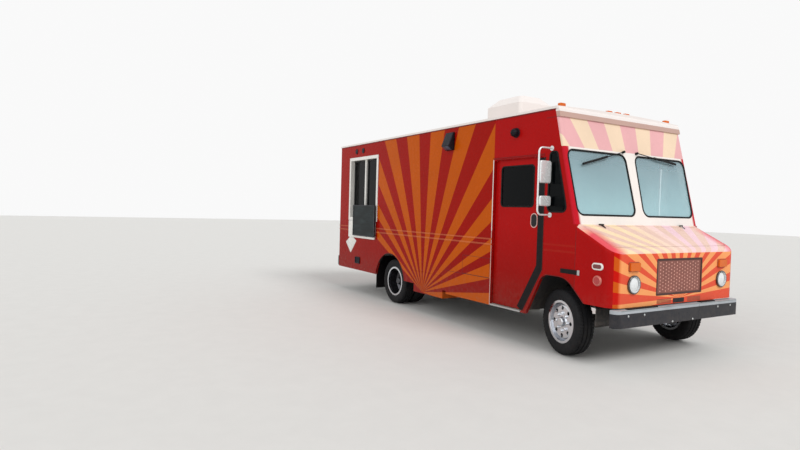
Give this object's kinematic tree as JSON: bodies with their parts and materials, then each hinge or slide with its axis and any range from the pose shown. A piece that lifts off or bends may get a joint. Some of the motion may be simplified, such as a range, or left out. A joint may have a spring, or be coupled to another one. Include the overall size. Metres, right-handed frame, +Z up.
{
  "type": "food truck",
  "caption": "Step van converted to a food truck, with a serving window and fold-down shelf, sliding cab doors, a lifting hood, rear doors, steering and turning wheels.",
  "frame": {"origin": "on the ground under the middle of the vehicle's box", "axes": "+X forward, +Y to the driver's left, +Z up"},
  "size_m": [7.12, 2.812, 3.39],
  "materials": {
    "body_paint": "gloss paint, red with orange sunburst stripes",
    "white_paint": "gloss white paint",
    "clear_glass": "polished",
    "grille_steel": "satin dark brown",
    "bumper_steel": "satin dark grey",
    "chassis_black": "dull black, road dust",
    "rubber": "matte",
    "tyre_rubber": "matte",
    "polished_rim": "polished",
    "mirror_chrome": "polished",
    "lamp_white": "clear lens",
    "lamp_amber": "clear lens",
    "lamp_red": "clear lens",
    "dark_plastic": "grained",
    "seat_vinyl": "vinyl",
    "board_black": "blank writing board",
    "inner_sheet": "satin",
    "worktop_steel": "brushed"
  },
  "bodies": {
    "body": {"amber_lamps": "lamp_amber", "body_lamps": "lamp_red", "bumpers": "bumper_steel", "cab_glass": "clear_glass", "chassis_frame": "chassis_black", "dashboard": "dark_plastic", "door_pockets": "inner_sheet", "driver_seat": "seat_vinyl", "engine_block": "chassis_black", "engine_cover": "dark_plastic", "exhaust": "chassis_black", "firewall": "inner_sheet", "floor_panel": "inner_sheet", "front_axle": "chassis_black", "fuel_tank": "chassis_black", "grille": "grille_steel", "headlamps": "lamp_white", "kitchen_counters": "worktop_steel", "leaf_springs": "chassis_black", "menu_board": "board_black", "mirrors": "mirror_chrome", "mud_flaps": "rubber", "nose_shell": "body_paint", "rear_axle": "chassis_black", "rear_frame": "body_paint", "roof_panel": "white_paint", "roof_vent": "white_paint", "serving_shelf": "white_paint", "serving_window_frame": "white_paint", "serving_window_glass": "clear_glass", "side_wall_left": "body_paint", "side_wall_right": "body_paint", "skirt_boxes": "body_paint", "wall_fittings": "dark_plastic", "wheelhouses": "chassis_black", "windshield_frame": "body_paint", "wipers": "rubber"},
    "hood": {"hood": "body_paint"},
    "cab_door_right": {"cab_door_right": "body_paint", "cab_door_glass_right": "clear_glass"},
    "cab_door_left": {"cab_door_left": "body_paint", "cab_door_glass_left": "clear_glass"},
    "rear_door_right": {"rear_door_right": "body_paint"},
    "rear_door_left": {"rear_door_left": "body_paint"},
    "knuckle_right": {"knuckle_right": "chassis_black"},
    "knuckle_left": {"knuckle_left": "chassis_black"},
    "tie_rod": {"tie_rod": "chassis_black"},
    "steering_wheel": {"steering_wheel": "dark_plastic"},
    "wheel_front_right": {"tyre_front_right": "tyre_rubber", "rim_front_right": "polished_rim"},
    "wheel_front_left": {"tyre_front_left": "tyre_rubber", "rim_front_left": "polished_rim"},
    "wheels_rear_right": {"tyres_rear_right": "tyre_rubber", "rims_rear_right": "polished_rim"},
    "wheels_rear_left": {"tyres_rear_left": "tyre_rubber", "rims_rear_left": "polished_rim"}
  },
  "joints": [
    {"name": "hood_lift", "type": "hinge", "parent": "body", "child": "hood", "pos_m": [2.988, 0, 1.57376], "axis": [0, -1, 0], "range_deg": [0, 60]},
    {"name": "cab_door_right_slide", "type": "slide", "parent": "body", "child": "cab_door_right", "axis": [-1, 0, 0], "range_m": [0, 0.85]},
    {"name": "cab_door_left_slide", "type": "slide", "parent": "body", "child": "cab_door_left", "axis": [-1, 0, 0], "range_m": [0, 0.85]},
    {"name": "rear_door_right_swing", "type": "hinge", "parent": "body", "child": "rear_door_right", "pos_m": [-3.474, -0.757, 1.7], "axis": [0, 0, 1], "range_deg": [0, 175]},
    {"name": "rear_door_left_swing", "type": "hinge", "parent": "body", "child": "rear_door_left", "pos_m": [-3.474, 0.757, 1.7], "axis": [0, 0, -1], "range_deg": [0, 175]},
    {"name": "steer_right", "type": "hinge", "parent": "body", "child": "knuckle_right", "pos_m": [2.762, -0.87, 0.395], "axis": [0, 0, 1], "range_deg": [-22, 48]},
    {"name": "steer_left", "type": "hinge", "parent": "body", "child": "knuckle_left", "pos_m": [2.762, 0.87, 0.395], "axis": [0, 0, 1], "range_deg": [-22, 48]},
    {"name": "tie_rod_end", "type": "hinge", "parent": "knuckle_right", "child": "tie_rod", "pos_m": [2.59636, -0.83176, 0.292], "axis": [0, 0, 1], "range_deg": [-48, 22]},
    {"name": "steering_wheel_turn", "type": "hinge", "parent": "body", "child": "steering_wheel", "pos_m": [2.33, 0.52, 1.61], "axis": [-0.5592, 0, 0.829], "range_deg": [-264, 576]},
    {"name": "wheel_front_right_spin", "type": "hinge", "parent": "knuckle_right", "child": "wheel_front_right", "pos_m": [2.73051, -1.00641, 0.395], "axis": [0.225, 0.9744, 0], "continuous": true},
    {"name": "wheel_front_left_spin", "type": "hinge", "parent": "knuckle_left", "child": "wheel_front_left", "pos_m": [2.79349, 1.00641, 0.395], "axis": [0.225, 0.9744, 0], "continuous": true},
    {"name": "wheels_rear_right_spin", "type": "hinge", "parent": "body", "child": "wheels_rear_right", "pos_m": [-1.226, -1.01, 0.395], "axis": [0, 1, 0], "continuous": true},
    {"name": "wheels_rear_left_spin", "type": "hinge", "parent": "body", "child": "wheels_rear_left", "pos_m": [-1.226, 1.01, 0.395], "axis": [0, 1, 0], "continuous": true}
  ],
  "couplings": [
    {"joint": "steer_left", "follows": "steer_right", "ratio": 1},
    {"joint": "tie_rod_end", "follows": "steer_right", "ratio": -1},
    {"joint": "steering_wheel_turn", "follows": "steer_right", "ratio": 12}
  ]
}
